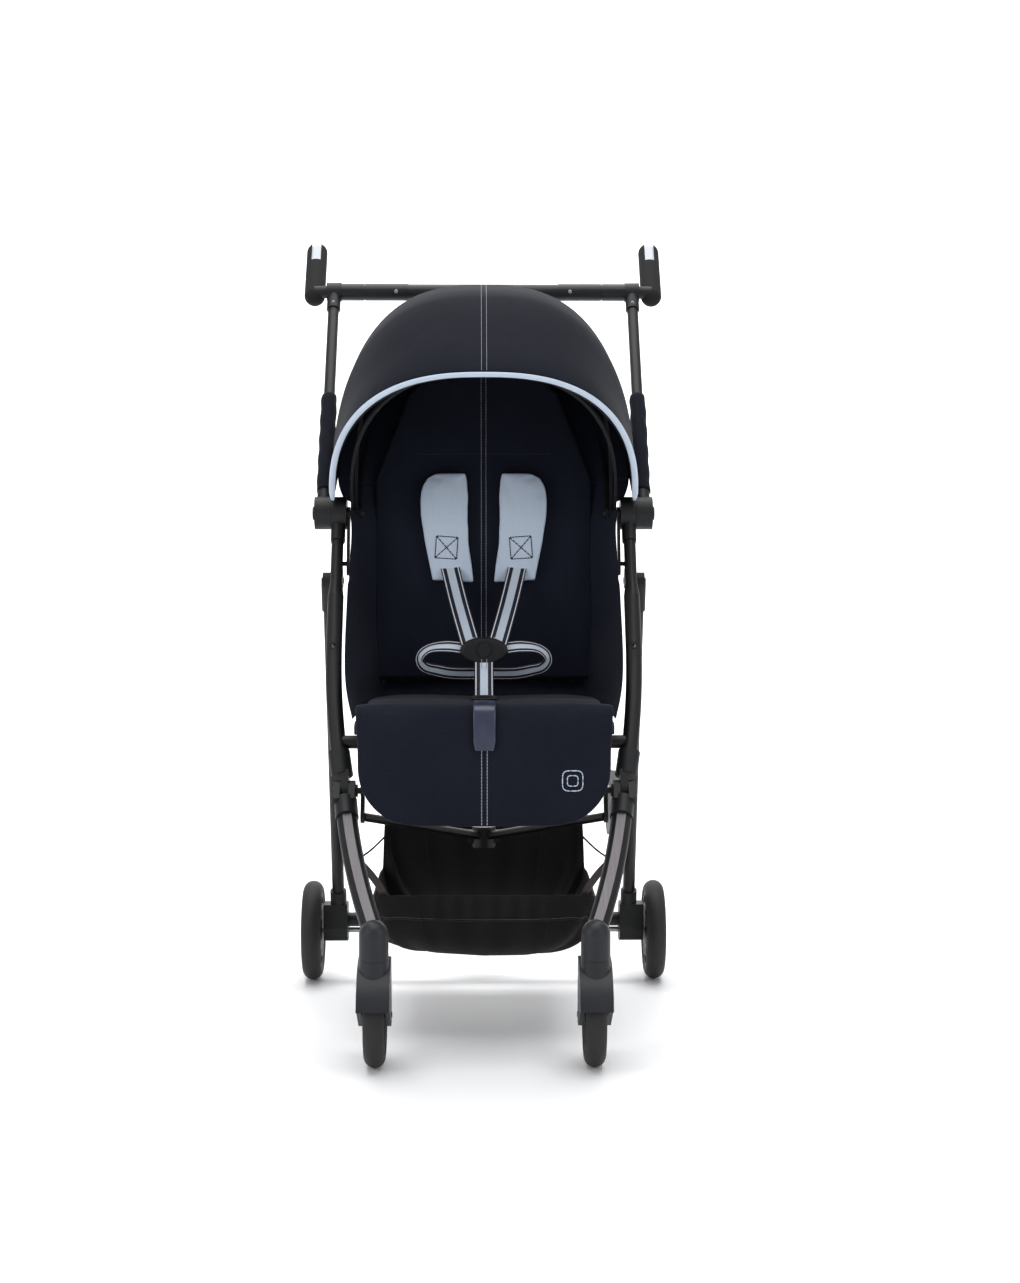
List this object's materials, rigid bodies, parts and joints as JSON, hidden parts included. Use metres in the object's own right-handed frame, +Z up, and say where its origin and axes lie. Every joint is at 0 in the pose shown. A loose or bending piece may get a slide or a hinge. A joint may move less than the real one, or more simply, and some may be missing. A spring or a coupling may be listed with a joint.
{
  "type": "baby stroller",
  "caption": "Compact folding baby stroller with reclining seat, jointed canopy, five-point harness, lift-up leg rest, swivel front casters and braked rear wheels.",
  "frame": {"origin": "middle of the bounding box's footprint, on the ground under the wheels", "axes": "+Z up, -Y towards the front of the stroller, +X towards its left side"},
  "size_m": [0.518, 0.7222, 1.0609],
  "materials": {
    "frame_paint": "satin black powder coat on aluminium tube",
    "bright_strip": "brushed anodised strip",
    "moulded_black": "fine-textured glass-filled nylon",
    "slate_plastic": "smooth slate nylon",
    "grip_foam": "matt foam-rubber grip",
    "gloss_white": "polished moulded strip",
    "crossbar_grey": "dark anodised tube",
    "navy_cloth": "plain-weave polyester",
    "seat_cloth": "plain-weave polyester, darker lining",
    "lightblue_cloth": "padded satin-weave polyester",
    "webbing": "striped woven webbing",
    "basket_cloth": "coarse polyester",
    "steel": "zinc-plated steel",
    "tyre_foam": "solid foam tyre, matt",
    "rim_plastic": "moulded nylon rim",
    "board": "polypropylene board"
  },
  "bodies": {
    "chassis": {"main_tubes": "frame_paint", "accessory_bushes": "moulded_black", "hinge_housings": "moulded_black", "frame_pins": "steel", "knee_collars": "moulded_black", "frame_brackets": "moulded_black", "seat_bar": "frame_paint", "seat_rails": "frame_paint", "seat_board": "board", "seat_pad": "seat_cloth", "seat_sides": "seat_cloth", "cross_links": "frame_paint", "crotch_strap": "webbing", "buckle_body": "moulded_black", "canopy_shell_rear": "navy_cloth", "canopy_bow_rear": "moulded_black", "basket": "basket_cloth"},
    "handle": {"handle_tubes": "frame_paint", "handle_knuckles": "moulded_black", "crossbar": "crossbar_grey", "tees": "moulded_black", "grips": "grip_foam", "grip_inlays": "gloss_white", "release_housing": "moulded_black"},
    "release_button": {"release_button": "slate_plastic"},
    "secondary_lock": {"secondary_lock": "slate_plastic"},
    "front_legs": {"front_legs": "frame_paint", "leg_inlays": "bright_strip", "knee_knuckles": "moulded_black", "knee_bar": "frame_paint", "caster_heads": "slate_plastic"},
    "rear_legs": {"rear_legs": "frame_paint", "rear_knuckles": "moulded_black", "rear_cross_tube": "frame_paint", "brake_housings": "moulded_black", "rear_axle": "steel"},
    "brake_pedal": {"brake_pedal": "slate_plastic"},
    "fold_links": {"fold_links": "steel"},
    "backrest": {"backrest_board": "board", "backrest_pad": "seat_cloth", "shoulder_pads": "lightblue_cloth"},
    "buckle_button": {"buckle_button": "slate_plastic"},
    "legrest": {"legrest_board": "board", "legrest_pad": "navy_cloth"},
    "canopy_front": {"canopy_shell_front": "navy_cloth", "canopy_bow_front": "moulded_black"},
    "canopy_mid": {"canopy_shell_mid": "navy_cloth", "canopy_bow_mid": "moulded_black"},
    "fork_left": {"fork_left": "slate_plastic"},
    "front_wheel_left": {"front_tyre_left": "tyre_foam", "front_rim_left": "rim_plastic"},
    "rear_wheel_left": {"rear_tyre_left": "tyre_foam", "rear_rim_left": "rim_plastic"},
    "brake_pin_left": {"brake_pin_left": "steel"},
    "fork_right": {"fork_right": "slate_plastic"},
    "front_wheel_right": {"front_tyre_right": "tyre_foam", "front_rim_right": "rim_plastic"},
    "rear_wheel_right": {"rear_tyre_right": "tyre_foam", "rear_rim_right": "rim_plastic"},
    "brake_pin_right": {"brake_pin_right": "steel"}
  },
  "joints": [
    {"name": "handle_fold", "type": "hinge", "parent": "chassis", "child": "handle", "pos_m": [0, 0.05232, 0.663], "axis": [-1, 0, 0], "range_deg": [-165, 0], "deforming": ["basket"]},
    {"name": "rear_leg_fold", "type": "hinge", "parent": "chassis", "child": "rear_legs", "pos_m": [0, 0.02763, 0.57319], "axis": [1, 0, 0], "range_deg": [-38, 0]},
    {"name": "front_leg_fold", "type": "hinge", "parent": "chassis", "child": "front_legs", "pos_m": [0, -0.15168, 0.314], "axis": [-1, 0, 0], "range_deg": [-18.7, 0]},
    {"name": "fold_link_swing", "type": "hinge", "parent": "chassis", "child": "fold_links", "pos_m": [0, 0.05232, 0.663], "axis": [-1, 0, 0], "range_deg": [-10.7, 0]},
    {"name": "canopy_tilt", "type": "hinge", "parent": "chassis", "child": "canopy_front", "pos_m": [0, 0.05232, 0.663], "axis": [1, 0, 0], "range_deg": [-57.5, 0]},
    {"name": "canopy_mid_tilt", "type": "hinge", "parent": "chassis", "child": "canopy_mid", "pos_m": [0, 0.05232, 0.663], "axis": [1, 0, 0], "range_deg": [-28.75, 0]},
    {"name": "backrest_recline", "type": "hinge", "parent": "chassis", "child": "backrest", "pos_m": [0, 0.05032, 0.412], "axis": [-1, 0, 0], "range_deg": [0, 38]},
    {"name": "legrest_lift", "type": "hinge", "parent": "chassis", "child": "legrest", "pos_m": [0, -0.19968, 0.396], "axis": [-1, 0, 0], "range_deg": [0, 65]},
    {"name": "release_press", "type": "slide", "parent": "handle", "child": "release_button", "axis": [0, 0, 1], "range_m": [0, 0.005], "stiffness_N_per_m": 400},
    {"name": "secondary_slide", "type": "slide", "parent": "handle", "child": "secondary_lock", "axis": [1, 0, 0], "range_m": [0, 0.006], "stiffness_N_per_m": 200},
    {"name": "buckle_press", "type": "slide", "parent": "chassis", "child": "buckle_button", "axis": [0, 1, 0], "range_m": [0, 0.003], "stiffness_N_per_m": 500},
    {"name": "brake_press", "type": "hinge", "parent": "rear_legs", "child": "brake_pedal", "pos_m": [0, 0.20732, 0.086], "axis": [-1, 0, 0], "range_deg": [0, 20]},
    {"name": "swivel_left", "type": "hinge", "parent": "front_legs", "child": "fork_left", "pos_m": [0.131, -0.32168, 0.134], "axis": [0, 0, 1], "continuous": true},
    {"name": "front_spin_left", "type": "hinge", "parent": "fork_left", "child": "front_wheel_left", "pos_m": [0.131, -0.29368, 0.0625], "axis": [1, 0, 0], "continuous": true},
    {"name": "rear_spin_left", "type": "hinge", "parent": "rear_legs", "child": "rear_wheel_left", "pos_m": [0.243, 0.21332, 0.07], "axis": [1, 0, 0], "continuous": true},
    {"name": "brake_pin_left_slide", "type": "slide", "parent": "rear_legs", "child": "brake_pin_left", "axis": [1, 0, 0], "range_m": [0, 0.0085]},
    {"name": "swivel_right", "type": "hinge", "parent": "front_legs", "child": "fork_right", "pos_m": [-0.131, -0.32168, 0.134], "axis": [0, 0, 1], "continuous": true},
    {"name": "front_spin_right", "type": "hinge", "parent": "fork_right", "child": "front_wheel_right", "pos_m": [-0.131, -0.29368, 0.0625], "axis": [1, 0, 0], "continuous": true},
    {"name": "rear_spin_right", "type": "hinge", "parent": "rear_legs", "child": "rear_wheel_right", "pos_m": [-0.243, 0.21332, 0.07], "axis": [1, 0, 0], "continuous": true},
    {"name": "brake_pin_right_slide", "type": "slide", "parent": "rear_legs", "child": "brake_pin_right", "axis": [-1, 0, 0], "range_m": [0, 0.0085]}
  ],
  "couplings": [
    {"joint": "rear_leg_fold", "follows": "handle_fold", "ratio": 0.2303},
    {"joint": "front_leg_fold", "follows": "handle_fold", "ratio": 0.11333},
    {"joint": "fold_link_swing", "follows": "handle_fold", "ratio": 0.064848},
    {"joint": "canopy_mid_tilt", "follows": "canopy_tilt", "ratio": 0.5},
    {"joint": "brake_pin_left_slide", "follows": "brake_press", "m_per_rad": 0.022918},
    {"joint": "brake_pin_right_slide", "follows": "brake_press", "m_per_rad": 0.022918}
  ]
}
